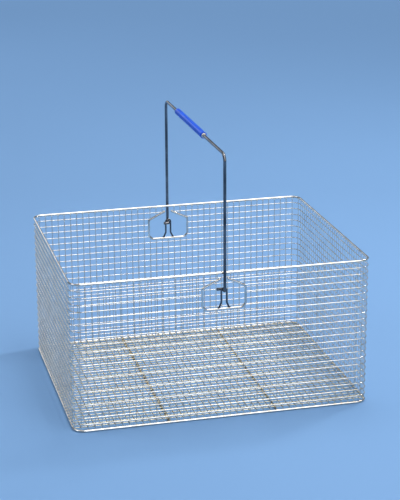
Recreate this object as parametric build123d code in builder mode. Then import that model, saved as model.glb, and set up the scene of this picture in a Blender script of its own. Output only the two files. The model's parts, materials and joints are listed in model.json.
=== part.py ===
from build123d import *
from math import atan2, cos, radians, sin, sqrt, tan
import os

os.makedirs("parts", exist_ok=True)

# A welded wire basket that stands on its base wire. X runs along the long walls, Y across them
# and Z up. The origin is the centre of the footprint, on the surface that the basket stands on.

# Body
length = 400.0                 # outside of the rim along X
width = 320.0                  # outside of the rim along Y
height = 202.0                 # standing surface to the top of the rim
frame_wire = 3.0               # rim, base and support wires
corner_radius = 14.0           # centre-line of the rim and base wires in plan
mesh_wire = 1.2                # wires of the walls and floor, drawn with four flat faces
wire_sides = 8                 # flat faces of every heavier wire
mesh_pitch = 9.0               # nominal side of a mesh square
corner_upright_shift = 1.8     # from the middle of a corner's flat away from its other upright
support_spacing = 146.5        # between the two wires under the floor

# Window frame in the middle of each long wall, measured below the rim's centre-line
window_wire = 3.0
window_half_width = 28.8
window_tip_half_gap = 5.0      # its two ends stop short of each other, under the rim
window_tip_depth = 8.0
window_shoulder_depth = 19.5
window_depth = 48.5
window_chamfer = 5.0
window_bend = 4.0

# Staple that carries one end of the bail, standing on the window frame's bottom wire
staple_wire = 2.5
staple_flare = 3.5             # how far each foot splays outwards
staple_flare_height = 7.0
staple_bend = 3.0
pivot_depth = 24.0             # bail's pivot below the rim's centre-line

# Bail
bail_wire = 4.0
bail_rise = 156.0              # centre of the bar above the rim's centre-line
bail_corner = 10.0             # bends at the bar's ends
bail_foot_bend = 4.0           # bend where a leg turns in through the wall
bail_gap = 0.8                 # between a leg and the rim
pivot_gap = 0.3                # round the bail's end in its staple
stub_reach = 7.0               # from the wall's centre plane to the stub inside it
stub_length = 8.0              # from the pivot to the stub's end, towards the left
stub_bend = 3.0

# Plastic grip on the bar, between two stop beads
grip_diameter = 9.0
grip_length = 145.0
grip_offset = 17.0             # middle of the grip towards the back
grip_fit = 0.1                 # radial, so that the tube turns on the bar
grip_end_gap = 0.4
grip_edge = 0.8
bead_diameter = 6.6
bead_length = 2.4

# Sizes that follow from the ones above
half_x = (length - frame_wire) / 2
half_y = (width - frame_wire) / 2
base_level = frame_wire / 2
rim_level = height - frame_wire / 2
straight_x = half_x - corner_radius
straight_y = half_y - corner_radius
squares_x = round(2 * half_x / mesh_pitch)
squares_y = round(2 * half_y / mesh_pitch)
squares_z = round((rim_level - base_level) / mesh_pitch)
row_pitch = (rim_level - base_level) / squares_z
corner_turn = radians(30)      # each row bends three times round a corner, with two flats between
corner_tangent = corner_radius * tan(corner_turn / 2)
rows = [rim_level - row_pitch * number for number in range(1, squares_z)]
upright_bottom = frame_wire
upright_top = height - frame_wire
floor_level = frame_wire
pivot_level = rim_level - pivot_depth
bar_level = rim_level + bail_rise
half_side_angle = 180 / wire_sides
bar_corner_radius = bail_wire / 2 / cos(radians(half_side_angle))
leg_y = half_y + frame_wire / 2 + bail_gap + bail_wire / 2
stub_y = half_y - stub_reach
slope_run = window_half_width - window_tip_half_gap
slope_fall = window_shoulder_depth - window_tip_depth
slope_cover = window_wire / 2 * sqrt(slope_run**2 + slope_fall**2) / slope_run

# Wall planes: local X along the wall, local Y up, outward normal
front = Plane(origin=(0, -half_y, 0), x_dir=(1, 0, 0), z_dir=(0, -1, 0))
back = Plane(origin=(0, half_y, 0), x_dir=(-1, 0, 0), z_dir=(0, 1, 0))
right = Plane(origin=(half_x, 0, 0), x_dir=(0, 1, 0), z_dir=(1, 0, 0))
left = Plane(origin=(-half_x, 0, 0), x_dir=(0, -1, 0), z_dir=(-1, 0, 0))


def save(part, name):
    """Label a finished piece and write it."""
    part.label = name
    export_step(part, f"parts/{name}.step")


def positions(half, squares, limit):
    """Places of the mesh wires across one side, as far out as the limit."""
    pitch = 2 * half / squares
    places = [-half + pitch * number for number in range(1, squares)]
    return [place for place in places if abs(place) <= limit]


def wire_bar(x_from, x_to, y_from, y_to):
    """One flat-faced wire, as a rectangle in the sketch that is open."""
    with Locations(((x_from + x_to) / 2, (y_from + y_to) / 2)):
        Rectangle(x_to - x_from, y_to - y_from)


def ring_wire(level):
    """Closed ring of wire with rounded corners, its centre-line at the level."""
    corners = [(-half_x, -half_y), (half_x, -half_y), (half_x, half_y), (-half_x, half_y)]
    with BuildPart() as ring:
        with BuildLine(Plane.XY.offset(level)) as path:
            run = FilletPolyline(*corners, radius=corner_radius, close=True)
        with BuildSketch(Plane(origin=run @ 0, x_dir=(0, 0, 1), z_dir=run % 0)):
            RegularPolygon(frame_wire / 2, wire_sides, major_radius=False, rotation=half_side_angle)
        sweep(path=path.wire())
    return ring.part


def support_wire(x):
    """Wire across the base, between the two long sides of the base wire."""
    reach = half_y - frame_wire / 2
    with BuildPart() as support:
        with BuildSketch(Plane.XZ.offset(-reach)):
            with Locations((x, base_level)):
                RegularPolygon(frame_wire / 2, wire_sides, major_radius=False, rotation=half_side_angle)
        extrude(amount=2 * reach)
    return support.part


def slope_depth(x):
    """Depth of the window frame's sloping centre-line at a distance from the middle."""
    return window_tip_depth + (x - window_tip_half_gap) * slope_fall / slope_run


def row_start(depth):
    """Where a row at this depth begins beside the window, or 0 where it runs through."""
    clear_depth = depth + mesh_wire / 2 + slope_cover
    if depth - mesh_wire / 2 > window_depth + window_wire / 2:
        return 0
    if clear_depth < window_shoulder_depth:
        return window_tip_half_gap + (clear_depth - window_tip_depth) * slope_run / slope_fall
    return window_half_width + window_wire / 2


def wall_rows(wall, reach, has_window):
    """Horizontal wires on the outer face of a wall, cut short beside its window."""
    half = mesh_wire / 2
    with BuildPart() as group:
        with BuildSketch(wall):
            for level in rows:
                start = row_start(rim_level - level) if has_window else 0
                if start == 0:
                    wire_bar(-reach, reach, level - half, level + half)
                else:
                    wire_bar(-reach, -start, level - half, level + half)
                    wire_bar(start, reach, level - half, level + half)
        extrude(amount=mesh_wire)
    return group.part


def wall_uprights(wall, uprights, has_window):
    """Upright wires on the inner face of a wall, cut short above and below its window."""
    half = mesh_wire / 2
    sill = rim_level - window_depth - window_wire / 2
    with BuildPart() as group:
        with BuildSketch(wall):
            for x in uprights:
                near = abs(x) - half
                if not has_window or near > window_half_width + window_wire / 2:
                    wire_bar(x - half, x + half, upright_bottom, upright_top)
                else:
                    wire_bar(x - half, x + half, upright_bottom, sill)
                    if near > window_tip_half_gap:
                        foot = rim_level - slope_depth(near) + slope_cover
                        wire_bar(x - half, x + half, foot, upright_top)
        extrude(amount=-mesh_wire)
    return group.part


def corner_point(sign_x, sign_y, radius, angle):
    """Point in plan round one of the basket's four corners, by radius and angle."""
    return Vector(
        sign_x * (straight_x + radius * cos(angle)),
        sign_y * (straight_y + radius * sin(angle)),
    )


def corner_outline(radius):
    """Plan of a corner's two flats at a radius, from the middle of its bend."""
    knee = radius / cos(corner_turn / 2) * cos(radians(45))
    return [(radius, corner_tangent), (knee, knee), (corner_tangent, radius)]


def corner_rows(sign_x, sign_y):
    """Rows bent round one upright corner of the basket, each in two flats."""
    outline = corner_outline(corner_radius) + corner_outline(corner_radius + mesh_wire)[::-1]
    points = [(sign_x * (straight_x + x), sign_y * (straight_y + y)) for x, y in outline]
    with BuildPart() as group:
        with BuildSketch(*[Plane.XY.offset(level - mesh_wire / 2) for level in rows]):
            with BuildLine():
                Polyline(*points, close=True)
            make_face()
        extrude(amount=mesh_wire)
    return group.part


def corner_uprights():
    """Two upright wires inside each corner, flat against the two flats of the rows."""
    out = corner_radius - mesh_wire / 2
    radius = sqrt(out**2 + corner_upright_shift**2)
    turn = atan2(corner_upright_shift, out)
    with BuildPart() as group:
        for sign_x in (-1, 1):
            for sign_y in (-1, 1):
                for flat_angle, way in ((corner_turn, -1), (2 * corner_turn, 1)):
                    centre = corner_point(sign_x, sign_y, radius, flat_angle + way * turn)
                    along = (-sign_x * sin(flat_angle), sign_y * cos(flat_angle), 0)
                    foot = (centre.X, centre.Y, upright_bottom)
                    with BuildSketch(Plane(origin=foot, x_dir=along, z_dir=(0, 0, 1))):
                        Rectangle(mesh_wire, mesh_wire)
                    extrude(amount=upright_top - upright_bottom)
    return group.part


def floor_reach(offset, straight_across, straight_along):
    """Half the length of a floor wire that ends at the inner faces of the uprights."""
    beyond = max(abs(offset) + mesh_wire / 2 - straight_across, 0)
    return straight_along + sqrt((corner_radius - mesh_wire)**2 - beyond**2)


def floor_long_wires(places):
    """Floor wires along X, on the base wire and the two supports."""
    half = mesh_wire / 2
    with BuildPart() as group:
        with BuildSketch(Plane.XY.offset(floor_level)):
            for y in places:
                reach = floor_reach(y, straight_y, straight_x)
                wire_bar(-reach, reach, y - half, y + half)
        extrude(amount=mesh_wire)
    return group.part


def floor_cross_wires(places):
    """Floor wires along Y, on the long wires."""
    half = mesh_wire / 2
    with BuildPart() as group:
        with BuildSketch(Plane.XY.offset(floor_level + mesh_wire)):
            for x in places:
                reach = floor_reach(x, straight_x, straight_y)
                wire_bar(x - half, x + half, -reach, reach)
        extrude(amount=mesh_wire)
    return group.part


def window_frame(wall):
    """Bent wire round the opening in a long wall, open between its two ends at the top."""
    half_sketch = [
        (window_tip_half_gap, rim_level - window_tip_depth),
        (window_half_width, rim_level - window_shoulder_depth),
        (window_half_width, rim_level - window_depth + window_chamfer),
        (window_half_width - window_chamfer, rim_level - window_depth),
    ]
    other_half = [(-x, level) for x, level in reversed(half_sketch)]
    with BuildPart() as frame:
        with BuildLine(wall) as path:
            run = FilletPolyline(*half_sketch, *other_half, radius=window_bend)
        with BuildSketch(Plane(origin=run @ 0, x_dir=wall.z_dir, z_dir=run % 0)):
            RegularPolygon(window_wire / 2, wire_sides, major_radius=False, rotation=half_side_angle)
        sweep(path=path.wire())
    return frame.part


def pivot_staple(wall):
    """Inverted U of wire with splayed feet, on the bottom wire of a window frame."""
    half_gap = bail_wire / 2 + pivot_gap + staple_wire / 2
    foot_level = rim_level - window_depth + window_wire / 2
    flare_level = foot_level + staple_flare_height
    overrun = staple_wire      # the feet run on below their seat and are then cut flat
    foot_x = half_gap + staple_flare * (1 + overrun / staple_flare_height)
    with BuildPart() as staple:
        with BuildLine(wall) as path:
            FilletPolyline(
                (-foot_x, foot_level - overrun),
                (-half_gap, flare_level),
                (-half_gap, pivot_level),
                radius=staple_bend,
            )
            ThreePointArc((-half_gap, pivot_level), (0, pivot_level + half_gap), (half_gap, pivot_level))
            FilletPolyline(
                (half_gap, pivot_level),
                (half_gap, flare_level),
                (foot_x, foot_level - overrun),
                radius=staple_bend,
            )
        with BuildSketch(Plane(origin=path.wire() @ 0, x_dir=wall.z_dir, z_dir=path.wire() % 0)):
            RegularPolygon(staple_wire / 2, wire_sides, major_radius=False, rotation=half_side_angle)
        sweep(path=path.wire())
        split(bisect_by=Plane.XY.offset(foot_level))
    return staple.part


def bail_part():
    """Bail: bar, two legs, ends turned in through the walls and then sideways, and two stop beads."""
    front_half = [
        (-stub_length, -stub_y, pivot_level),
        (0, -stub_y, pivot_level),
        (0, -leg_y, pivot_level),
        (0, -leg_y, bar_level),
    ]
    back_half = [(x, -y, level) for x, y, level in reversed(front_half)]
    bends = [stub_bend, bail_foot_bend, bail_corner]
    bead_starts = (
        grip_offset + grip_length / 2 + grip_end_gap,
        grip_offset - grip_length / 2 - grip_end_gap - bead_length,
    )
    with BuildPart() as bail:
        with BuildLine() as path:
            run = FilletPolyline(*front_half, *back_half, radius=[*bends, *reversed(bends)])
        with BuildSketch(Plane(origin=run @ 0, x_dir=(0, 0, 1), z_dir=run % 0)):
            RegularPolygon(bail_wire / 2, wire_sides, major_radius=False, rotation=half_side_angle)
        sweep(path=path.wire())
        with BuildSketch(*[Plane.XZ.offset(-start) for start in bead_starts]):
            with Locations((0, bar_level)):
                RegularPolygon(bead_diameter / 2, wire_sides, major_radius=False, rotation=half_side_angle)
        extrude(amount=-bead_length)
    return bail.part


def grip_part():
    """Plastic tube that turns on the bar."""
    with BuildPart() as grip:
        with BuildSketch(Plane.XZ.offset(-grip_offset - grip_length / 2)):
            with Locations((0, bar_level)):
                Circle(grip_diameter / 2)
                Circle(bar_corner_radius + grip_fit, mode=Mode.SUBTRACT)
        extrude(amount=grip_length)
        rims = grip.edges().filter_by(GeomType.CIRCLE).group_by(SortBy.RADIUS)[-1]
        chamfer(rims, grip_edge)
    return grip.part


# Frame
save(ring_wire(rim_level), "rim_wire")
save(ring_wire(base_level), "base_wire")
save(support_wire(-support_spacing / 2), "left_support_wire")
save(support_wire(support_spacing / 2), "right_support_wire")

# Walls
long_uprights = positions(half_x, squares_x, straight_x)
short_uprights = positions(half_y, squares_y, straight_y)
for wall_name, wall_plane in (("front", front), ("back", back)):
    save(wall_rows(wall_plane, straight_x + corner_tangent, True), f"{wall_name}_wall_rows")
    save(wall_uprights(wall_plane, long_uprights, True), f"{wall_name}_wall_uprights")
    save(window_frame(wall_plane), f"{wall_name}_window_frame")
    save(pivot_staple(wall_plane), f"{wall_name}_pivot_staple")
for wall_name, wall_plane in (("left", left), ("right", right)):
    save(wall_rows(wall_plane, straight_y + corner_tangent, False), f"{wall_name}_wall_rows")
    save(wall_uprights(wall_plane, short_uprights, False), f"{wall_name}_wall_uprights")
for y_name, sign_y in (("front", -1), ("back", 1)):
    for x_name, sign_x in (("left", -1), ("right", 1)):
        save(corner_rows(sign_x, sign_y), f"{y_name}_{x_name}_corner_rows")
save(corner_uprights(), "corner_uprights")

# Floor
save(floor_long_wires(positions(half_y, squares_y, half_y)), "floor_long_wires")
save(floor_cross_wires(positions(half_x, squares_x, half_x)), "floor_cross_wires")

# Carrying handle
save(bail_part(), "bail")
save(grip_part(), "grip")
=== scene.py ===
# %% [markdown]
# # A welded wire basket with a swinging bail
#
# The real basket is steel wire from end to end, with one plastic tube for the hand. Round
# wire is fed off a coil, bent over pins and spot welded where two wires cross. The scene is
# made in the same order: first the studio, then a small wire bender, then the frame, the
# mesh, the welds and the carrying handle.
#
# The solid model comes first. It fixes every place and every moving part, and the pieces
# made here are dressed over it.

# %% Load the solid model
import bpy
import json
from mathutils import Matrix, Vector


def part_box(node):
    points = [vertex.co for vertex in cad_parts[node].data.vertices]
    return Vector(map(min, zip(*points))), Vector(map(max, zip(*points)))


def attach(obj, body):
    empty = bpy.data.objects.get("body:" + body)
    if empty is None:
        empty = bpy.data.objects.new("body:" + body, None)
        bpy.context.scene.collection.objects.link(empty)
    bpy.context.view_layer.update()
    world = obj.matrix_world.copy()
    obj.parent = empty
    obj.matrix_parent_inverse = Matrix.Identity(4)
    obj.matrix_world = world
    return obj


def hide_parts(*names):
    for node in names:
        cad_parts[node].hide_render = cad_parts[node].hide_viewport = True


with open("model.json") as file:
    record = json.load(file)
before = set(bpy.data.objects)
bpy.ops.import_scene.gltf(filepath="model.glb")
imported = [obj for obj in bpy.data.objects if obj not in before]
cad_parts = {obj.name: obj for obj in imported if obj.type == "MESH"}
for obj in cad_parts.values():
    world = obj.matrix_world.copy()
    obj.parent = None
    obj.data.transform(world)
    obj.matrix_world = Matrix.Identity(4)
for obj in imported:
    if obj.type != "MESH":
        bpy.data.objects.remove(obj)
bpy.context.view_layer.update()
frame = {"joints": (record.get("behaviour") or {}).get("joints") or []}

# %% Blender's own modules and the unit
import json
from math import atan2, ceil, cos, pi, radians, sin, tan

import bmesh
import bpy
from mathutils import Matrix, Vector

mm = 0.001

# %% [markdown]
# ## Sizes from the solid model
#
# A wire's place is easiest to read from the box of its node: half the height of the rim's
# box is the wire's radius, and the centre-line lies that far inside the box. The two
# hinges give the level of the bail's pivot and of its bar.

# %% Measure the frame
rim_low, rim_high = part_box("rim_wire")
base_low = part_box("base_wire")[0]
frame_radius = (rim_high.z - rim_low.z) / 2
half_x = rim_high.x - frame_radius
half_y = rim_high.y - frame_radius
rim_level = rim_high.z - frame_radius
base_level = base_low.z + frame_radius
joint_level = {joint["name"]: joint["pos_m"][2] for joint in frame["joints"]}
pivot_level = joint_level["bail_swing"]
bar_level = joint_level["grip_spin"]
print("rim centre-line", round(half_x / mm, 2), round(half_y / mm, 2), round(rim_level / mm, 2))

# %% [markdown]
# ## Camera
#
# A long lens from a little above and a little to the left keeps the uprights nearly
# parallel. The camera is placed by its three axes: the way it looks, its right side and
# its top, with a small roll. The vertical sensor fit makes the picture's height set the
# scale. The plain view transform shows each colour as it is written.

# %% Camera
camera_azimuth = radians(14.053)
camera_elevation = radians(17.782)
camera_roll = radians(-0.338)
camera_place = Vector((-0.4921, -1.9991, 0.8422))
focal_length = 113.46

looking = Vector((
    sin(camera_azimuth) * cos(camera_elevation),
    cos(camera_azimuth) * cos(camera_elevation),
    -sin(camera_elevation),
))
level_right = Vector((cos(camera_azimuth), -sin(camera_azimuth), 0))
level_top = level_right.cross(looking)
right_side = cos(camera_roll) * level_right + sin(camera_roll) * level_top
top_side = -sin(camera_roll) * level_right + cos(camera_roll) * level_top

lens = bpy.data.cameras.new("camera")
lens.sensor_fit = "VERTICAL"
lens.sensor_height = 36
lens.lens = focal_length
camera = bpy.data.objects.new("camera", lens)
bpy.context.scene.collection.objects.link(camera)
axes = Matrix((right_side, top_side, -looking)).transposed().to_4x4()
camera.matrix_world = Matrix.Translation(camera_place) @ axes
bpy.context.scene.camera = camera
bpy.context.scene.view_settings.view_transform = "Standard"
print("camera looks down by", round(camera_elevation * 180 / pi, 1), "degrees")

# %% [markdown]
# ## Reading and joining nodes
#
# Every finish below is a small tree of shader nodes. Two short helpers keep the cells
# readable: one adds a node and fills in its sockets, the other builds a group with named
# inputs and outputs, so that one effect can be placed in several materials.

# %% Node helpers
def add_node(tree, kind, settings=None, **sockets):
    """A node with its settings, and its sockets set to a value or joined to a socket.

    A socket goes by its name, with _ for a space, or by _ and its number.
    """
    node = tree.nodes.new("ShaderNode" + kind)
    for name, value in (settings or {}).items():
        setattr(node, name, value)
    for name, value in sockets.items():
        number = name[1:]
        socket = node.inputs[int(number) if number.isdigit() else name.replace("_", " ")]
        if isinstance(value, bpy.types.NodeSocket):
            tree.links.new(value, socket)
        else:
            socket.default_value = value
    return node


def new_group(name, inputs, outputs):
    """A shader node group, with inputs (name, type, default) and outputs (name, type)."""
    group = bpy.data.node_groups.new(name, "ShaderNodeTree")
    for label, kind, value in inputs:
        socket = group.interface.new_socket(name=label, in_out="INPUT", socket_type=kind)
        socket.default_value = value
    for label, kind in outputs:
        group.interface.new_socket(name=label, in_out="OUTPUT", socket_type=kind)
    return group, group.nodes.new("NodeGroupInput"), group.nodes.new("NodeGroupOutput")


def place_group(tree, group, **sockets):
    """The group as one node of a material, with its own values."""
    return add_node(tree, "Group", {"node_tree": group}, **sockets)


def new_material(name):
    """An empty material with its Principled shader already joined to the output."""
    material = bpy.data.materials.new(name)
    material.use_nodes = True
    tree = material.node_tree
    tree.nodes.clear()
    shader = add_node(tree, "BsdfPrincipled")
    add_node(tree, "OutputMaterial", Surface=shader.outputs[0])
    return material, tree, shader


print("node helpers ready")

# %% [markdown]
# ## Floor, world and lamps
#
# A round wire mirrors a whole ring of its surroundings, so thin wires only read well when
# that ring is partly light and partly darker. The floor is pale and plain. Lamps light
# only its middle, so its far part is helped by a weak glow that the camera and the
# mirrors see, and that gives no light to the basket. The world joins it at the horizon
# and is a dim grey above.

# %% Floor
floor_colour = (0.21, 0.39, 0.67, 1)
floor_half_size = 20.0
lit_reach = 1.0
glow_reach = 4.0
far_glow = 0.5

floor_paint, tree, shader = new_material("floor_paint")
place = add_node(tree, "TexCoord")
cloud = add_node(tree, "TexNoise", Vector=place.outputs["Object"], Scale=2.0, Detail=2.0)
paler = tuple(channel * 1.03 for channel in floor_colour[:3]) + (1,)
blend = add_node(tree, "Mix", {"data_type": "RGBA"}, _0=cloud.outputs[0],
                 _6=floor_colour, _7=paler)
tree.links.new(blend.outputs[2], shader.inputs["Base Color"])
reach = add_node(tree, "VectorMath", {"operation": "LENGTH"}, _0=place.outputs["Object"])
far = add_node(tree, "MapRange", Value=reach.outputs["Value"], From_Min=lit_reach,
               From_Max=glow_reach, To_Min=0.0, To_Max=far_glow)
path = add_node(tree, "LightPath")
seen = add_node(tree, "Math", {"operation": "MAXIMUM"},
                _0=path.outputs["Is Camera Ray"], _1=path.outputs["Is Glossy Ray"])
seen = add_node(tree, "Math", {"operation": "MAXIMUM"},
                _0=seen.outputs[0], _1=path.outputs["Is Transmission Ray"])
share = add_node(tree, "Math", {"operation": "MULTIPLY"}, _0=far.outputs[0], _1=seen.outputs[0])
glow = add_node(tree, "Mix", {"data_type": "RGBA"}, _0=share.outputs[0],
                _6=(0, 0, 0, 1), _7=floor_colour)
tree.links.new(glow.outputs[2], shader.inputs["Emission Color"])
shader.inputs["Emission Strength"].default_value = 1.0
shader.inputs["Roughness"].default_value = 0.75
shader.inputs["Specular IOR Level"].default_value = 0.2

bm = bmesh.new()
bmesh.ops.create_grid(bm, x_segments=1, y_segments=1, size=floor_half_size)
floor_mesh = bpy.data.meshes.new("studio_floor")
bm.to_mesh(floor_mesh)
bm.free()
floor_mesh.materials.append(floor_paint)
studio_floor = bpy.data.objects.new("studio_floor", floor_mesh)
bpy.context.scene.collection.objects.link(studio_floor)
print("floor", 2 * floor_half_size, "m wide")

# %% World
horizon_colour = (0.15, 0.27, 0.47, 1)
low_sky = (0.13, 0.16, 0.21, 1)
high_sky = (0.26, 0.28, 0.31, 1)
world = bpy.data.worlds.new("studio")
world.use_nodes = True
world.node_tree.nodes.clear()
tree = world.node_tree
place = add_node(tree, "TexCoord")
height = add_node(tree, "SeparateXYZ", Vector=place.outputs["Generated"])
rise = add_node(tree, "MapRange", Value=height.outputs["Z"], From_Min=0.0, From_Max=0.9)
dim = add_node(tree, "Mix", {"data_type": "RGBA"}, _0=rise.outputs[0],
               _6=low_sky, _7=high_sky)
above = add_node(tree, "MapRange", Value=height.outputs["Z"], From_Min=0.05, From_Max=0.14)
fade = add_node(tree, "Mix", {"data_type": "RGBA"}, _0=above.outputs[0],
                _6=horizon_colour, _7=dim.outputs[2])
sky = add_node(tree, "Background", Color=fade.outputs[2], Strength=1.0)
add_node(tree, "OutputWorld", Surface=sky.outputs[0])
bpy.context.scene.world = world
print("world", world.name, "horizon", horizon_colour[:3])

# %% [markdown]
# The wires that run from side to side mirror a band of the ceiling a little to the right
# of the middle. A long soft box hangs there and draws a bright line along each of them.
# A front box shines on their faces and on the bends, a box at the left draws a spark on
# each row where it rounds a corner, and a weak strip at the back gives the wires of the
# short sides their thin lines. The key lamp at the right is the smallest one, so it casts
# the shadow, to the left and a little forwards.

# %% Lamps
def add_lamp(name, place, aim, power, width, depth):
    """A soft box at one place, turned towards another, that no camera sees."""
    light = bpy.data.lights.new(name, "AREA")
    light.energy = power
    light.shape = "RECTANGLE"
    light.size = width
    light.size_y = depth
    lamp = bpy.data.objects.new(name, light)
    bpy.context.scene.collection.objects.link(lamp)
    lamp.location = place
    lamp.rotation_euler = (Vector(aim) - Vector(place)).to_track_quat("-Z", "Y").to_euler()
    lamp.visible_camera = False


basket_middle = (0, 0, 0.1)
under_ceiling_box = (0.46, 0.2, 0)
for name, place, aim, power, width, depth in (
    ("key_lamp", (1.31, 0.52, 1.69), basket_middle, 12, 0.25, 0.25),
    ("ceiling_box", (0.46, 0.2, 2.0), under_ceiling_box, 27, 0.9, 3.4),
    ("front_box", (0.6, -2.0, 1.5), basket_middle, 18, 2.2, 1.8),
    ("left_box", (-1.2, 0.35, 1.7), basket_middle, 7, 0.7, 0.7),
    ("back_strip", (-0.6, 2.8, 1.0), basket_middle, 2.5, 1.0, 0.5),
):
    add_lamp(name, place, aim, power, width, depth)
print("lamps", [thing.name for thing in bpy.data.lights])

# %% [markdown]
# ## Finish of the steel
#
# The basket is made of stainless wire, welded and then electropolished. That leaves a
# bright, faintly uneven skin: soft cloudy changes of tone along the wire, and a very fine
# grain that blurs the reflections. Both are noise on Object coordinates, at two scales.
# They are kept in one group because every steel uses them, and the plastic too.

# %% Group: skin of drawn and polished wire
wire_skin, inside, outside = new_group(
    "wire_skin",
    [("Cloud Scale", "NodeSocketFloat", 60.0), ("Grain Scale", "NodeSocketFloat", 1800.0)],
    [("Cloud", "NodeSocketFloat"), ("Grain", "NodeSocketFloat"), ("Relief", "NodeSocketFloat")],
)
place = add_node(wire_skin, "TexCoord")
cloud = add_node(wire_skin, "TexNoise", Vector=place.outputs["Object"],
                 Scale=inside.outputs["Cloud Scale"], Detail=3.0, Roughness=0.55)
grain = add_node(wire_skin, "TexNoise", Vector=place.outputs["Object"],
                 Scale=inside.outputs["Grain Scale"], Detail=2.0)
cloud_mask = add_node(wire_skin, "MapRange", Value=cloud.outputs[0], From_Min=0.32, From_Max=0.68)
relief = add_node(wire_skin, "Math", {"operation": "MULTIPLY_ADD"},
                  _0=cloud.outputs[0], _1=0.6, _2=grain.outputs[0])
wire_skin.links.new(cloud_mask.outputs[0], outside.inputs["Cloud"])
wire_skin.links.new(grain.outputs[0], outside.inputs["Grain"])
wire_skin.links.new(relief.outputs[0], outside.inputs["Relief"])
print(wire_skin.name, "has", len(wire_skin.nodes), "nodes")

# %% [markdown]
# Welding heat leaves a straw colour round each crossing, which the polish only partly
# takes off. The crossings lie on a regular grid, so their distance needs no picture and
# no list: the coordinates are wrapped at the pitch of the mesh, and the length of what is
# left is the distance to the nearest crossing. Noise makes some crossings warmer than
# others.

# %% Pitch of the mesh
squares_x, squares_y, squares_z = 44, 35, 22
pitch = Vector((
    2 * half_x / squares_x,
    2 * half_y / squares_y,
    (rim_level - base_level) / squares_z,
))
print("mesh pitch", [round(side / mm, 3) for side in pitch], "mm")

# %% Group: heat tint round the welds
heat_reach = 2.6 * mm
full_heat = 0.6 * mm
weld_heat, inside, outside = new_group(
    "weld_heat",
    [("Reach", "NodeSocketFloat", heat_reach), ("Patch Scale", "NodeSocketFloat", 22.0)],
    [("Heat", "NodeSocketFloat")],
)
place = add_node(weld_heat, "TexCoord")
from_corner = add_node(weld_heat, "VectorMath", {"operation": "SUBTRACT"},
                       _0=place.outputs["Object"], _1=(half_x, half_y, rim_level))
wrapped = add_node(weld_heat, "VectorMath", {"operation": "WRAP"},
                   _0=from_corner.outputs[0], _1=pitch / 2, _2=-pitch / 2)
distance = add_node(weld_heat, "VectorMath", {"operation": "LENGTH"}, _0=wrapped.outputs[0])
near = add_node(weld_heat, "MapRange", {"interpolation_type": "SMOOTHSTEP"},
                Value=distance.outputs["Value"], From_Min=inside.outputs["Reach"],
                From_Max=full_heat, To_Min=0.0, To_Max=1.0)
patch = add_node(weld_heat, "TexNoise", Vector=place.outputs["Object"],
                 Scale=inside.outputs["Patch Scale"], Detail=2.0)
warm = add_node(weld_heat, "MapRange", Value=patch.outputs[0], From_Min=0.38, From_Max=0.62)
heat = add_node(weld_heat, "Math", {"operation": "MULTIPLY"},
                _0=near.outputs[0], _1=warm.outputs[0])
weld_heat.links.new(heat.outputs[0], outside.inputs["Heat"])
print(weld_heat.name, "reaches", heat_reach / mm, "mm")

# %% [markdown]
# One function builds each steel from the two groups. Its clouds run from a pale tone to a
# dark one, the heat adds straw, and the grain moves the gloss between smooth and rough.
# The mesh is the palest, the heavy frame wire a little warmer, and the weld metal rougher.
# The two supports under the floor had the most heat and stayed brown, and the floor mesh
# on them is straw coloured. The bail and its staples are bright stainless steel, but their
# base colour is painted dark: painted shade that stands in for the dark surroundings the
# steel mirrors. It is smooth and shows the highlights as thin lines.

# %% Steel finishes
def steel_finish(name, pale, dark, straw, heat_share, smooth, rough, cloud_scale, relief_depth):
    """A steel with cloudy tone, straw heat tint near the welds, and fine relief."""
    material, tree, shader = new_material(name)
    skin = place_group(tree, wire_skin, Cloud_Scale=cloud_scale)
    heat = place_group(tree, weld_heat)
    tone = add_node(tree, "Mix", {"data_type": "RGBA"}, _0=skin.outputs["Cloud"],
                    _6=(*pale, 1), _7=(*dark, 1))
    share = add_node(tree, "Math", {"operation": "MULTIPLY"},
                     _0=heat.outputs["Heat"], _1=heat_share)
    tinted = add_node(tree, "Mix", {"data_type": "RGBA"}, _0=share.outputs[0],
                      _6=tone.outputs[2], _7=(*straw, 1))
    blur = add_node(tree, "MapRange", Value=skin.outputs["Grain"], From_Min=0.3, From_Max=0.7,
                    To_Min=smooth, To_Max=rough)
    bump = add_node(tree, "Bump", Strength=0.35, Distance=relief_depth,
                    Height=skin.outputs["Relief"])
    tree.links.new(tinted.outputs[2], shader.inputs["Base Color"])
    tree.links.new(blur.outputs[0], shader.inputs["Roughness"])
    tree.links.new(bump.outputs[0], shader.inputs["Normal"])
    shader.inputs["Metallic"].default_value = 1.0
    return material


frame_steel = steel_finish(
    "frame_wire_steel", pale=(0.92, 0.89, 0.83), dark=(0.66, 0.62, 0.55),
    straw=(0.80, 0.60, 0.32), heat_share=0.5, smooth=0.10, rough=0.22,
    cloud_scale=55.0, relief_depth=0.04 * mm)
mesh_steel = steel_finish(
    "mesh_wire_steel", pale=(0.93, 0.91, 0.86), dark=(0.70, 0.67, 0.61),
    straw=(0.80, 0.62, 0.36), heat_share=0.6, smooth=0.10, rough=0.24,
    cloud_scale=70.0, relief_depth=0.04 * mm)
weld_steel = steel_finish(
    "weld_metal", pale=(0.94, 0.88, 0.76), dark=(0.66, 0.58, 0.45),
    straw=(0.72, 0.54, 0.30), heat_share=0.5, smooth=0.30, rough=0.48,
    cloud_scale=120.0, relief_depth=0.10 * mm)
# The bail's and staples' dark base colour is painted shade: it stands in for the dark surroundings
# that bright steel mirrors.
dark_painted_bail_steel = steel_finish(
    "bail_steel_painted_dark", pale=(0.24, 0.24, 0.25), dark=(0.09, 0.09, 0.10),
    straw=(0.24, 0.24, 0.25), heat_share=0.0, smooth=0.10, rough=0.22,
    cloud_scale=40.0, relief_depth=0.04 * mm)
floor_steel = steel_finish(
    "straw_steel", pale=(0.86, 0.80, 0.60), dark=(0.60, 0.53, 0.36),
    straw=(0.66, 0.50, 0.24), heat_share=0.7, smooth=0.12, rough=0.28,
    cloud_scale=40.0, relief_depth=0.04 * mm)
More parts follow.
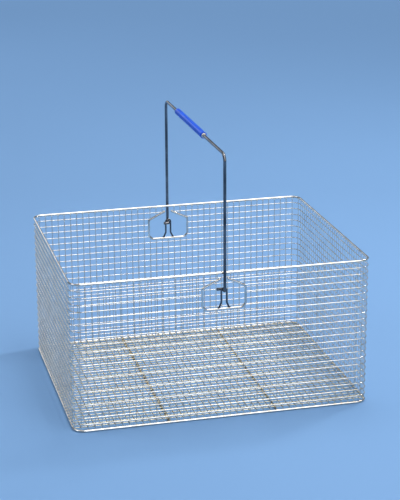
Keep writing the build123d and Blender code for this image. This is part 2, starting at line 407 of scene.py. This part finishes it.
support_steel = steel_finish(
    "brown_steel", pale=(0.50, 0.42, 0.31), dark=(0.26, 0.20, 0.14),
    straw=(0.46, 0.31, 0.14), heat_share=0.8, smooth=0.16, rough=0.30,
    cloud_scale=48.0, relief_depth=0.05 * mm)
steels = (frame_steel, mesh_steel, weld_steel, dark_painted_bail_steel, floor_steel, support_steel)
print("steels", [steel.name for steel in steels])

# %% [markdown]
# ## A wire bender
#
# Bent wire could be a curve object with a bevel, but its corners would then be an
# approximation of the bends. A real bender feeds the wire straight and turns it about a
# pin, and bmesh has both moves: extrude_edge_only with translate feeds the section's
# circle, and spin turns it about a centre. So a path is just its corners and a bend
# radius for each. Closed rings are merged where they meet, and open ends are capped with
# a slightly rounded rim.
#
# Smooth shading blends the normals of neighbouring faces. A long straight face beside a
# bend would take on some of the bend's slant along its whole length, and its highlight
# would fade. So each run is fed in three parts: a short one at each end takes up the
# blend, and the long one between them stays straight.

# %% Feed and bend
def each_once(items):
    """The items in their order, each only once."""
    return list(dict.fromkeys(items))


def split_kinds(geometry):
    """The vertices and the edges among what an operator gives back."""
    verts = [item for item in geometry if isinstance(item, bmesh.types.BMVert)]
    edges = [item for item in geometry if isinstance(item, bmesh.types.BMEdge)]
    return verts, edges


def feed_wire(bm, section, run, margin):
    """Pull the section's circle straight on by a run, and return the new circle's edges."""
    parts = [run.length]
    if run.length > 4 * margin:
        parts = [margin, run.length - 2 * margin, margin]
    for part in parts:
        verts, section = split_kinds(bmesh.ops.extrude_edge_only(bm, edges=section)["geom"])
        bmesh.ops.translate(bm, verts=verts, vec=run.normalized() * part)
    return section


def round_rims(bm, edges, width, segments):
    """Round the edges of an end with a bevel."""
    bmesh.ops.bevel(bm, geom=edges, offset=width, offset_type="OFFSET", segments=segments,
                    profile=0.5, affect="EDGES", material=-1, clamp_overlap=True)


def turn_wire(bm, section, pin, axis, angle, steps):
    """Turn the section's circle round a pin, and return the new circle's edges."""
    verts = each_once(vert for edge in section for vert in edge.verts)
    turned = bmesh.ops.spin(bm, geom=verts + section, cent=pin, axis=axis, angle=angle,
                            steps=steps, use_merge=False, use_normal_flip=False,
                            use_duplicate=False)
    return split_kinds(turned["geom_last"])[1]


def bend_wire(bm, corners, radius, bends, sides, closed=False, degrees_a_step=10):
    """Round wire along the corners of its centre-line, with a bend radius at each corner."""
    stops = [Vector(corner) for corner in corners]
    if closed:
        seam = (stops[-1] + stops[0]) / 2
        stops = [seam, *stops, seam]
    if not isinstance(bends, (list, tuple)):
        bends = [bends] * (len(stops) - 2)
    heading = (stops[1] - stops[0]).normalized()
    facing = heading.to_track_quat("Z", "Y").to_matrix().to_4x4()
    first = bmesh.ops.create_circle(bm, cap_ends=not closed, segments=sides, radius=radius,
                                    matrix=Matrix.Translation(stops[0]) @ facing)
    section = each_once(edge for vert in first["verts"] for edge in vert.link_edges)
    rims = list(section)
    here = stops[0]
    for corner, following, bend in zip(stops[1:-1], stops[2:], bends):
        new_heading = (following - corner).normalized()
        turn = heading.angle(new_heading)
        setback = bend * tan(turn / 2)
        axis = heading.cross(new_heading).normalized()
        bend_start = corner - heading * setback
        section = feed_wire(bm, section, bend_start - here, radius)
        steps = max(2, ceil(turn * 180 / pi / degrees_a_step))
        pin = bend_start + axis.cross(heading) * bend
        section = turn_wire(bm, section, pin, axis, turn, steps)
        here = corner + new_heading * setback
        heading = new_heading
    section = feed_wire(bm, section, stops[-1] - here, radius)
    if closed:
        seam_verts = each_once(vert for edge in section + rims for vert in edge.verts)
        bmesh.ops.remove_doubles(bm, verts=seam_verts, dist=radius / 50)
    else:
        bmesh.ops.contextual_create(bm, geom=section)
        round_rims(bm, rims + section, radius / 4, 2)


def straight_wire(bm, start, end, radius, sides=8):
    """One straight length of wire with flat ends."""
    run = Vector(end) - Vector(start)
    facing = run.to_track_quat("Z", "Y").to_matrix().to_4x4()
    middle = Matrix.Translation((Vector(start) + Vector(end)) / 2)
    bmesh.ops.create_cone(bm, cap_ends=True, segments=sides, radius1=radius, radius2=radius,
                          depth=run.length, matrix=middle @ facing)


print("wire bender ready")

# %% [markdown]
# A finished bmesh becomes an object in one place: faces turned outwards, smooth shading
# with sharp rims, its finish, and the body that it moves with.

# %% From bmesh to piece
sharp_angle = radians(50)


def finish_piece(name, bm, material, body="basket", nodes=()):
    """Make the object, give it its finish and body, and let it stand for its solid nodes."""
    bmesh.ops.recalc_face_normals(bm, faces=bm.faces)
    mesh = bpy.data.meshes.new(name)
    bm.to_mesh(mesh)
    bm.free()
    mesh.shade_smooth()
    mesh.set_sharp_from_angle(angle=sharp_angle)
    mesh.materials.append(material)
    piece = bpy.data.objects.new(name, mesh)
    bpy.context.scene.collection.objects.link(piece)
    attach(piece, body)
    if nodes:
        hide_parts(*nodes)
    mesh.calc_loop_triangles()
    print(name, len(mesh.loop_triangles), "triangles")
    return piece


# %% [markdown]
# ## Frame
#
# The rim and the base are closed rings of heavier wire. The ends of each ring meet in a
# butt weld on a short side, which leaves a small swelling. The bead is a sphere drawn out
# along the wire and set a little inwards, as its outer side is dressed flush.

# %% Rim and base ring
corner_radius = 14 * mm


def ring_corners(out_x, out_y, level):
    """The four corners of a ring, in order round the basket."""
    return [(-out_x, -out_y, level), (out_x, -out_y, level),
            (out_x, out_y, level), (-out_x, out_y, level)]


def add_bead(bm, place, size, flat_sides=12):
    """A drop of weld metal: a sphere stretched to its size along X, Y and Z."""
    stretch = Matrix.Diagonal((*size, 1))
    bmesh.ops.create_uvsphere(bm, u_segments=flat_sides, v_segments=flat_sides // 2 + 2, radius=1,
                              matrix=Matrix.Translation(place) @ stretch)


butt_weld_inset = 0.25 * mm
butt_weld_size = (frame_radius + 0.2 * mm, 1.9 * mm, frame_radius)
for name, level, weld_side, weld_y in (
    ("rim_wire", rim_level, -1, 11 * mm),
    ("base_wire", base_level, 1, -40 * mm),
):
    bm = bmesh.new()
    bend_wire(bm, ring_corners(half_x, half_y, level), frame_radius, corner_radius, 20,
              closed=True, degrees_a_step=7.5)
    add_bead(bm, (weld_side * (half_x - butt_weld_inset), weld_y, level), butt_weld_size)
    finish_piece(name.replace("_wire", "_ring"), bm, frame_steel, nodes=[name])

# %% [markdown]
# Two straight wires of the same gauge cross under the floor and are welded to the long
# sides of the base ring. Their ends run into the ring, so only the weld shows there.

# %% Floor supports
support_low, support_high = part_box("right_support_wire")
support_x = (support_low.x + support_high.x) / 2
bm = bmesh.new()
for x in (-support_x, support_x):
    straight_wire(bm, (x, -half_y, base_level), (x, half_y, base_level), frame_radius, 16)
finish_piece("floor_supports", bm, support_steel,
             nodes=["left_support_wire", "right_support_wire"])

# %% [markdown]
# ## Walls
#
# The rows run round the outside of the uprights, and bend round the four corners. Where
# two wires of the mesh cross, the spot weld presses them a little into each other, so
# their centre-lines lie nearer than a wire's thickness. A row that meets the window in a
# long wall stops in the window frame's wire.

# %% Rows
mesh_radius = 0.6 * mm
press_in = 0.08 * mm
layer = mesh_radius - press_in
window_half_width = 28.8 * mm
window_tip_x = 5 * mm
window_tip_depth = 8 * mm
window_shoulder_depth = 19.5 * mm
window_depth = 48.5 * mm
slope = (window_shoulder_depth - window_tip_depth) / (window_half_width - window_tip_x)
row_levels = [rim_level - pitch.z * number for number in range(1, squares_z)]


def window_edge(level):
    """How far from the middle a row starts at this level, or 0 where it runs through."""
    depth = rim_level - level
    if depth > window_depth:
        return 0
    on_slope = window_tip_x + (depth - window_tip_depth) / slope
    return min(window_half_width, max(window_tip_x + mesh_radius, on_slope))


bm = bmesh.new()
row_x, row_y, row_bend = half_x + layer, half_y + layer, corner_radius + layer
for level in row_levels:
    start = window_edge(level)
    if start == 0:
        bend_wire(bm, ring_corners(row_x, row_y, level), mesh_radius, row_bend, 8,
                  closed=True, degrees_a_step=15)
    else:
        for side in (-1, 1):
            stops = [(side * start, -row_y, level), (side * row_x, -row_y, level),
                     (side * row_x, row_y, level), (side * start, row_y, level)]
            bend_wire(bm, stops, mesh_radius, row_bend, 8, degrees_a_step=15)
walls = ("front", "back", "left", "right")
corners = ("front_left", "front_right", "back_left", "back_right")
row_nodes = [f"{wall}_wall_rows" for wall in walls]
row_nodes += [f"{corner}_corner_rows" for corner in corners]
finish_piece("wall_rows", bm, mesh_steel, nodes=row_nodes)

# %% [markdown]
# The uprights stand on the inside, from the base ring to the rim. At the window they stop
# at its frame, with short lengths above the two slopes. Two more stand in each rounded
# corner.

# %% Uprights
straight_x = half_x - corner_radius
straight_y = half_y - corner_radius
places_x = [-half_x + pitch.x * number for number in range(1, squares_x)]
places_y = [-half_y + pitch.y * number for number in range(1, squares_y)]
upright_x = [x for x in places_x if abs(x) <= straight_x]
upright_y = [y for y in places_y if abs(y) <= straight_y]
depth_in_ring = frame_radius - 0.6 * mm
upright_foot = base_level + frame_radius - depth_in_ring
upright_head = rim_level - frame_radius + depth_in_ring
corner_shift = atan2(1.8 * mm, corner_radius - mesh_radius)
corner_angles = [radians(30) - corner_shift, radians(60) + corner_shift]


def corner_spots(out):
    """Places in plan on the two uprights of each corner, at a radius from the corner's centre."""
    return [(side_x * (straight_x + out * cos(angle)), side_y * (straight_y + out * sin(angle)))
            for side_x in (-1, 1) for side_y in (-1, 1) for angle in corner_angles]


bm = bmesh.new()
for side in (-1, 1):
    for x in upright_x:
        y = side * (half_y - layer)
        if abs(x) > window_half_width:
            straight_wire(bm, (x, y, upright_foot), (x, y, upright_head), mesh_radius)
            continue
        straight_wire(bm, (x, y, upright_foot), (x, y, rim_level - window_depth), mesh_radius)
        if abs(x) > window_tip_x:
            depth = window_tip_depth + (abs(x) - window_tip_x) * slope
            straight_wire(bm, (x, y, rim_level - depth), (x, y, upright_head), mesh_radius)
    for y in upright_y:
        x = side * (half_x - layer)
        straight_wire(bm, (x, y, upright_foot), (x, y, upright_head), mesh_radius)
for x, y in corner_spots(corner_radius - layer):
    straight_wire(bm, (x, y, upright_foot), (x, y, upright_head), mesh_radius)
finish_piece("wall_uprights", bm, mesh_steel,
             nodes=[f"{wall}_wall_uprights" for wall in walls] + ["corner_uprights"])

# %% [markdown]
# ## Floor mesh
#
# The long wires lie on the supports, and the cross wires on the long ones. Each is a
# straight length whose ends run into the uprights, shorter in the rounded corners.

# %% Floor wires
long_wire_level = base_level + frame_radius + mesh_radius
cross_wire_level = long_wire_level + 2 * layer


def floor_reach(offset, straight_across, straight_along):
    """Half the length of a floor wire at an offset from the middle."""
    inside_corner = max(abs(offset) - straight_across, 0)
    out = corner_radius - layer
    return straight_along + (out**2 - inside_corner**2) ** 0.5


bm = bmesh.new()
for y in places_y:
    reach = floor_reach(y, straight_y, straight_x)
    straight_wire(bm, (-reach, y, long_wire_level), (reach, y, long_wire_level), mesh_radius)
finish_piece("floor_long_wires_round", bm, floor_steel, nodes=["floor_long_wires"])

bm = bmesh.new()
for x in places_x:
    reach = floor_reach(x, straight_x, straight_y)
    straight_wire(bm, (x, -reach, cross_wire_level), (x, reach, cross_wire_level), mesh_radius)
finish_piece("floor_cross_wires_round", bm, floor_steel, nodes=["floor_cross_wires"])

# %% [markdown]
# ## Spot welds
#
# Every crossing has a small nugget that fills the corners between its two wires. There
# are thousands, so each is an icosphere of twenty faces. One nugget is made, and spin
# with use_duplicate and no angle copies it along a line, then copies the line into a
# grid. The nuggets that would hang in the window are deleted afterwards.

# %% Weld nuggets
nugget_radius = 0.98 * mm


def nugget_grid(bm, first, flatten, *repeats):
    """A grid of nuggets from its first one; each repeat is a step and how many more there are."""
    matrix = Matrix.Translation(first) @ Matrix.Diagonal((*flatten, 1))
    made = bmesh.ops.create_icosphere(bm, subdivisions=1, radius=nugget_radius, matrix=matrix)
    group = list(made["verts"])
    for step, more in repeats:
        before = set(bm.verts)
        geometry = group + each_once(edge for vert in group for edge in vert.link_edges)
        geometry += each_once(face for vert in group for face in vert.link_faces)
        bmesh.ops.spin(bm, geom=geometry, cent=(0, 0, 0), axis=(0, 0, 1), dvec=step, angle=0,
                       steps=more, use_merge=False, use_normal_flip=False, use_duplicate=True)
        group += [vert for vert in bm.verts if vert not in before]
    return group


def drop_in_window(bm, verts):
    """Delete the nuggets that have no row or no upright to join."""
    gone = []
    for vert in verts:
        column = round(vert.co.x / pitch.x) * pitch.x
        row = rim_level - round((rim_level - vert.co.z) / pitch.z) * pitch.z
        past_row_end = abs(column) < window_edge(row) - mesh_radius
        between_tips = abs(column) < window_tip_x and row > rim_level - window_depth
        if past_row_end or between_tips:
            gone.append(vert)
    bmesh.ops.delete(bm, geom=gone, context="VERTS")


up = (0, 0, pitch.z)
for wall, side in (("front", -1), ("back", 1)):
    bm = bmesh.new()
    verts = nugget_grid(bm, (upright_x[0], side * half_y, row_levels[-1]), (1, 0.8, 1),
                        ((pitch.x, 0, 0), len(upright_x) - 1), (up, len(row_levels) - 1))
    drop_in_window(bm, verts)
    finish_piece(f"{wall}_wall_welds", bm, weld_steel)
for wall, side in (("left", -1), ("right", 1)):
    bm = bmesh.new()
    nugget_grid(bm, (side * half_x, upright_y[0], row_levels[-1]), (0.8, 1, 1),
                ((0, pitch.y, 0), len(upright_y) - 1), (up, len(row_levels) - 1))
    finish_piece(f"{wall}_wall_welds", bm, weld_steel)

# %% [markdown]
# The corner uprights, the floor grid and the ends of the uprights get their nuggets in
# the same way. At the ends the metal runs up between the thin wire and the heavy one.

# %% Welds of the corners, the ends and the floor
bm = bmesh.new()
for x, y in corner_spots(corner_radius):
    nugget_grid(bm, (x, y, row_levels[-1]), (0.9, 0.9, 1), (up, len(row_levels) - 1))
end_weld_gap = frame_radius + 0.2 * mm
for level in (base_level + end_weld_gap, rim_level - end_weld_gap):
    for side in (-1, 1):
        inner_y, inner_x = side * (half_y - layer), side * (half_x - layer)
        nugget_grid(bm, (upright_x[0], inner_y, level), (1, 1, 0.8),
                    ((pitch.x, 0, 0), len(upright_x) - 1))
        nugget_grid(bm, (inner_x, upright_y[0], level), (1, 1, 0.8),
                    ((0, pitch.y, 0), len(upright_y) - 1))
    for x, y in corner_spots(corner_radius - layer):
        nugget_grid(bm, (x, y, level), (1, 1, 0.8))
between_tips = [vert for vert in bm.verts
                if abs(vert.co.x) < window_tip_x / 2 and vert.co.z > rim_level / 2]
bmesh.ops.delete(bm, geom=between_tips, context="VERTS")
finish_piece("end_welds", bm, weld_steel)

bm = bmesh.new()
floor_weld_level = (long_wire_level + cross_wire_level) / 2
nugget_grid(bm, (places_x[0], places_y[0], floor_weld_level), (1, 1, 0.8),
            ((pitch.x, 0, 0), len(places_x) - 1), ((0, pitch.y, 0), len(places_y) - 1))
for x in (-support_x, support_x):
    nugget_grid(bm, (x, places_y[0], long_wire_level - mesh_radius), (1.3, 1, 0.6),
                ((0, pitch.y, 0), len(places_y) - 1))
finish_piece("floor_welds", bm, floor_steel)

# %% [markdown]
# ## Window frames
#
# In the middle of each long wall the mesh is cut away, and a bent wire finishes the
# opening: down two slopes, two sides and a bottom with clipped corners. It stays open
# between its two tips under the rim, where the bail passes. A small drop of weld joins
# each tip to the first row.

# %% Window frames
window_bend = 4 * mm
window_chamfer = 5 * mm
tip_weld_shift = 0.8 * mm
tip_weld_size = (1.9 * mm, 1.4 * mm, 1.45 * mm)
half_window = [
    (window_tip_x, window_tip_depth),
    (window_half_width, window_shoulder_depth),
    (window_half_width, window_depth - window_chamfer),
    (window_half_width - window_chamfer, window_depth),
]
window_path = half_window + [(-x, depth) for x, depth in reversed(half_window)]
for wall, side in (("front", -1), ("back", 1)):
    bm = bmesh.new()
    stops = [(x, side * half_y, rim_level - depth) for x, depth in window_path]
    bend_wire(bm, stops, frame_radius, window_bend, 16, degrees_a_step=9)
    for end in (-1, 1):
        tip_x = end * (window_tip_x + tip_weld_shift)
        add_bead(bm, (tip_x, side * half_y, rim_level - window_tip_depth), tip_weld_size)
    finish_piece(f"{wall}_window_wire", bm, frame_steel,
                 nodes=[f"{wall}_window_frame"])

# %% [markdown]
# ## Staples
#
# A staple of thinner wire stands on the window's bottom wire and carries one end of the
# bail under its arch. The arch is a half circle, so it is made as two quarter bends. The
# feet splay outwards and sit in two puddles of weld.

# %% Staples
staple_radius = 1.25 * mm
staple_bend = 3 * mm
staple_flare = 3.5 * mm
flare_height = 7 * mm
foot_in_weld = 0.6 * mm
puddle_size = (2.3 * mm, 1.48 * mm, 1.0 * mm)
bail_radius = 2.0 * mm
pivot_gap = 0.3 * mm
arch = bail_radius + pivot_gap + staple_radius
arch_bend = arch * 0.999
staple_foot = rim_level - window_depth + frame_radius
half_staple = [
    (-arch - staple_flare, staple_foot - foot_in_weld),
    (-arch, staple_foot + flare_height),
    (-arch, pivot_level + arch),
]
staple_path = half_staple + [(-x, level) for x, level in reversed(half_staple)]
for wall, side in (("front", -1), ("back", 1)):
    bm = bmesh.new()
    stops = [(x, side * half_y, level) for x, level in staple_path]
    bend_wire(bm, stops, staple_radius, [staple_bend, arch_bend, arch_bend, staple_bend], 14,
              degrees_a_step=9)
    for end in (-1, 1):
        puddle_x = end * (arch + staple_flare - 0.1 * mm)
        add_bead(bm, (puddle_x, side * half_y, staple_foot + 0.1 * mm), puddle_size)
    finish_piece(f"{wall}_staple_wire", bm, dark_painted_bail_steel,
                 nodes=[f"{wall}_pivot_staple"])

# %% [markdown]
# ## Bail
#
# One length of heavy wire makes the whole carrying handle: a stub inside the wall that
# keeps it from slipping out, a turn through the staple, the leg, the bar and back down
# the other side. All of it is bent in one plane after another, which is what the bender
# above does with a list of corners.

# %% Bail
bail_gap = 0.8 * mm
stub_reach = 7 * mm
stub_length = 8 * mm
stub_bend, foot_bend, bar_bend = 3 * mm, 4 * mm, 10 * mm
leg_y = half_y + frame_radius + bail_gap + bail_radius
stub_y = half_y - stub_reach
front_half = [
    (-stub_length, -stub_y, pivot_level),
    (0, -stub_y, pivot_level),
    (0, -leg_y, pivot_level),
    (0, -leg_y, bar_level),
]
bail_path = front_half + [(x, -y, level) for x, y, level in reversed(front_half)]
bends = [stub_bend, foot_bend, bar_bend, bar_bend, foot_bend, stub_bend]
bm = bmesh.new()
bend_wire(bm, bail_path, bail_radius, bends, 20, degrees_a_step=6)
finish_piece("bail_wire", bm, dark_painted_bail_steel, body="bail", nodes=["bail"])

# %% [markdown]
# Two beads on the bar keep the grip in its place. Each is a short steel collar with well
# rounded rims, bright from the polishing.

# %% Stop beads
grip_low, grip_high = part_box("grip")
bead_radius = 3.3 * mm
bead_length = 2.4 * mm
bead_gap = 0.4 * mm
bead_edge = 0.9 * mm
bead_shift = bead_gap + bead_length / 2
bm = bmesh.new()
for middle in (grip_low.y - bead_shift, grip_high.y + bead_shift):
    turned = Matrix.Translation((0, middle, bar_level)) @ Matrix.Rotation(pi / 2, 4, "X")
    bmesh.ops.create_cone(bm, cap_ends=True, segments=24, radius1=bead_radius, radius2=bead_radius,
                          depth=bead_length, matrix=turned)
end_faces = [face for face in bm.faces if len(face.verts) > 4]
round_rims(bm, each_once(edge for face in end_faces for edge in face.edges), bead_edge, 4)
finish_piece("stop_beads", bm, weld_steel, body="bail")

# %% [markdown]
# ## Grip
#
# The grip is a length of blue plastic tube. Extruded plastic has faint lines along its
# length and a soft gloss, and years of hands and steam leave it a little paler in
# patches. The lines are noise stretched along the tube by a Mapping node.

# %% Blue plastic
grip_plastic, tree, shader = new_material("blue_plastic")
place = add_node(tree, "TexCoord")
along = add_node(tree, "Mapping", Vector=place.outputs["Object"], Scale=(900, 12, 900))
lines = add_node(tree, "TexNoise", Vector=along.outputs[0], Scale=1.0, Detail=3.0)
skin = place_group(tree, wire_skin, Cloud_Scale=45.0, Grain_Scale=2600.0)
colour = add_node(tree, "Mix", {"data_type": "RGBA"}, _0=skin.outputs["Cloud"],
                  _6=(0.0, 0.08, 0.66, 1), _7=(0.0, 0.115, 0.82, 1))
gloss = add_node(tree, "MapRange", Value=skin.outputs["Grain"], From_Min=0.3, From_Max=0.7,
                 To_Min=0.26, To_Max=0.42)
relief = add_node(tree, "Math", {"operation": "MULTIPLY_ADD"},
                  _0=lines.outputs[0], _1=0.8, _2=skin.outputs["Grain"])
bump = add_node(tree, "Bump", Strength=0.3, Distance=0.05 * mm, Height=relief.outputs[0])
shader.inputs["Specular IOR Level"].default_value = 0.3
tree.links.new(colour.outputs[2], shader.inputs["Base Color"])
tree.links.new(gloss.outputs[0], shader.inputs["Roughness"])
tree.links.new(bump.outputs[0], shader.inputs["Normal"])
print(grip_plastic.name, "has", len(tree.nodes), "nodes")

# %% [markdown]
# The tube itself is two circles fed along the bar, the outer one and the bore. Bridging
# their open ends closes it into one shell, and a bevel rounds the outer rims.

# %% Grip
grip_radius = (grip_high.z - grip_low.z) / 2
grip_run = Vector((0, grip_high.y - grip_low.y, 0))
grip_edge = 0.8 * mm
bore_gap = 0.2 * mm
bore_radius = bail_radius + bore_gap
bm = bmesh.new()
end_loops = []
for radius in (grip_radius, bore_radius):
    facing = Matrix.Translation((0, grip_low.y, bar_level)) @ Matrix.Rotation(pi / 2, 4, "X")
    circle = bmesh.ops.create_circle(bm, cap_ends=False, segments=40, radius=radius, matrix=facing)
    section = each_once(edge for vert in circle["verts"] for edge in vert.link_edges)
    far_section = feed_wire(bm, section, grip_run, 2 * mm)
    end_loops.append((section, far_section))
for outer, bore in zip(*end_loops):
    bmesh.ops.bridge_loops(bm, edges=outer + bore)
    round_rims(bm, outer, grip_edge, 4)
finish_piece("grip_tube", bm, grip_plastic, body="grip", nodes=["grip"])
